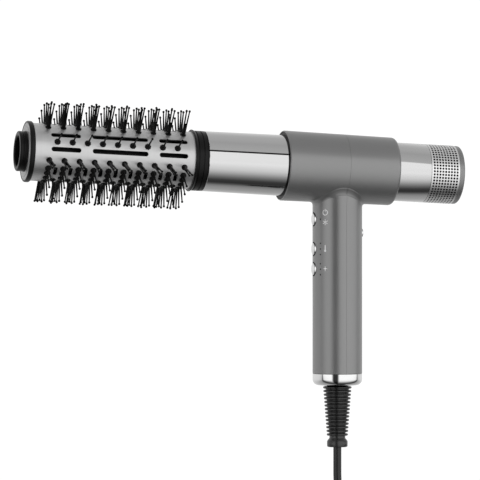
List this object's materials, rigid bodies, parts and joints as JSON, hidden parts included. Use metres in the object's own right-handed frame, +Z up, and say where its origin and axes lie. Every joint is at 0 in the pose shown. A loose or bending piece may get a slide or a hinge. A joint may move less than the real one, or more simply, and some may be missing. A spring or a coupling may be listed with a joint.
{
  "type": "hair dryer",
  "caption": "T-shaped hand-held hair dryer with a long round thermal brush attachment, perforated intake ring, push buttons and mains lead.",
  "frame": {"origin": "centre of the hand grip, on the handle's axis", "axes": "+Z up along the handle towards the barrel, nose and brush towards -X, +Y completes a right-handed frame"},
  "size_m": [0.347, 0.0856, 0.4743],
  "materials": {
    "housing": "satin",
    "steel": "brushed",
    "chrome": "polished",
    "black_plastic": "satin",
    "grey_plastic": "satin",
    "pale_plastic": "gloss",
    "aluminium": "satin",
    "bristle": "satin",
    "rubber": "matte",
    "cord": "satin",
    "mica": "matte",
    "ceramic": "matte",
    "copper": "enamelled",
    "board": "gloss",
    "magnet": "satin",
    "wire": "satin",
    "brass_pin": "polished",
    "silicone": "matte"
  },
  "bodies": {
    "dryer": {"front_shell": "housing", "rear_shell": "housing", "rear_tube": "steel", "socket_liner": "black_plastic", "socket_magnets": "magnet", "air_duct": "grey_plastic", "heater_frame": "mica", "heater_coil": "steel", "heater_wrap": "mica", "thermal_cutoff": "ceramic", "ion_needle": "steel", "ion_generator": "grey_plastic", "motor_mount": "rubber", "motor_casing": "aluminium", "motor_end_plate": "aluminium", "motor_stator": "steel", "motor_windings": "copper", "motor_bearings": "steel", "intake_cage": "black_plastic", "cover_magnet": "magnet", "control_board": "board", "board_parts": "grey_plastic", "push_switches": "grey_plastic", "status_lights": "pale_plastic", "button_guide": "black_plastic", "cool_guide": "black_plastic", "small_screws": "steel", "supply_wires": "wire", "cord_clamp": "grey_plastic", "base_plate": "black_plastic", "base_ring": "chrome", "strain_relief": "rubber", "mains_cord": "cord", "cord_hank": "cord", "cord_tie": "rubber", "plug_body": "black_plastic", "plug_pins": "brass_pin"},
    "rotor": {"rotor_shaft": "steel", "rotor_magnet": "magnet", "impeller": "grey_plastic"},
    "intake_cover": {"intake_ring": "steel", "intake_mesh": "black_plastic", "end_cap": "housing"},
    "power_button": {"power_button": "chrome"},
    "temperature_button": {"temperature_button": "chrome"},
    "speed_button": {"speed_button": "chrome"},
    "cool_shot_button": {"cool_shot_button": "chrome"},
    "adapter": {"adapter_tube": "steel", "adapter_core": "black_plastic", "latch_ring": "steel", "adapter_seal": "silicone"},
    "brush": {"lock_collar": "black_plastic", "brush_core": "black_plastic", "brush_barrel": "aluminium", "bristle_feet": "bristle", "pin_bristles": "bristle", "tuft_bristles": "bristle", "tip_flange": "black_plastic", "flange_face": "aluminium", "cool_tip": "black_plastic"}
  },
  "joints": [
    {"name": "attachment_pull", "type": "slide", "parent": "dryer", "child": "adapter", "axis": [-0.9989, 0, 0.0471], "range_m": [0, 0.06]},
    {"name": "brush_twist_lock", "type": "hinge", "parent": "adapter", "child": "brush", "pos_m": [-0.10678, 0, 0.12104], "axis": [0.9989, 0, -0.0471], "range_deg": [0, 30]},
    {"name": "intake_cover_pull", "type": "slide", "parent": "dryer", "child": "intake_cover", "axis": [0.9989, 0, -0.0471], "range_m": [0, 0.03]},
    {"name": "fan_spin", "type": "hinge", "parent": "dryer", "child": "rotor", "pos_m": [0.03996, 0, 0.11412], "axis": [0.9989, 0, -0.0471], "continuous": true},
    {"name": "power_button", "type": "slide", "parent": "dryer", "child": "power_button", "axis": [1, 0, 0], "range_m": [0, 0.0008], "stiffness_N_per_m": 900, "springref_m": -0.0006},
    {"name": "temperature_button", "type": "slide", "parent": "dryer", "child": "temperature_button", "axis": [1, 0, 0], "range_m": [0, 0.0008], "stiffness_N_per_m": 900, "springref_m": -0.0006},
    {"name": "speed_button", "type": "slide", "parent": "dryer", "child": "speed_button", "axis": [1, 0, 0], "range_m": [0, 0.0008], "stiffness_N_per_m": 900, "springref_m": -0.0006},
    {"name": "cool_shot_button", "type": "slide", "parent": "dryer", "child": "cool_shot_button", "axis": [-1, 0, 0], "range_m": [0, 0.0008], "stiffness_N_per_m": 900, "springref_m": -0.0006}
  ]
}
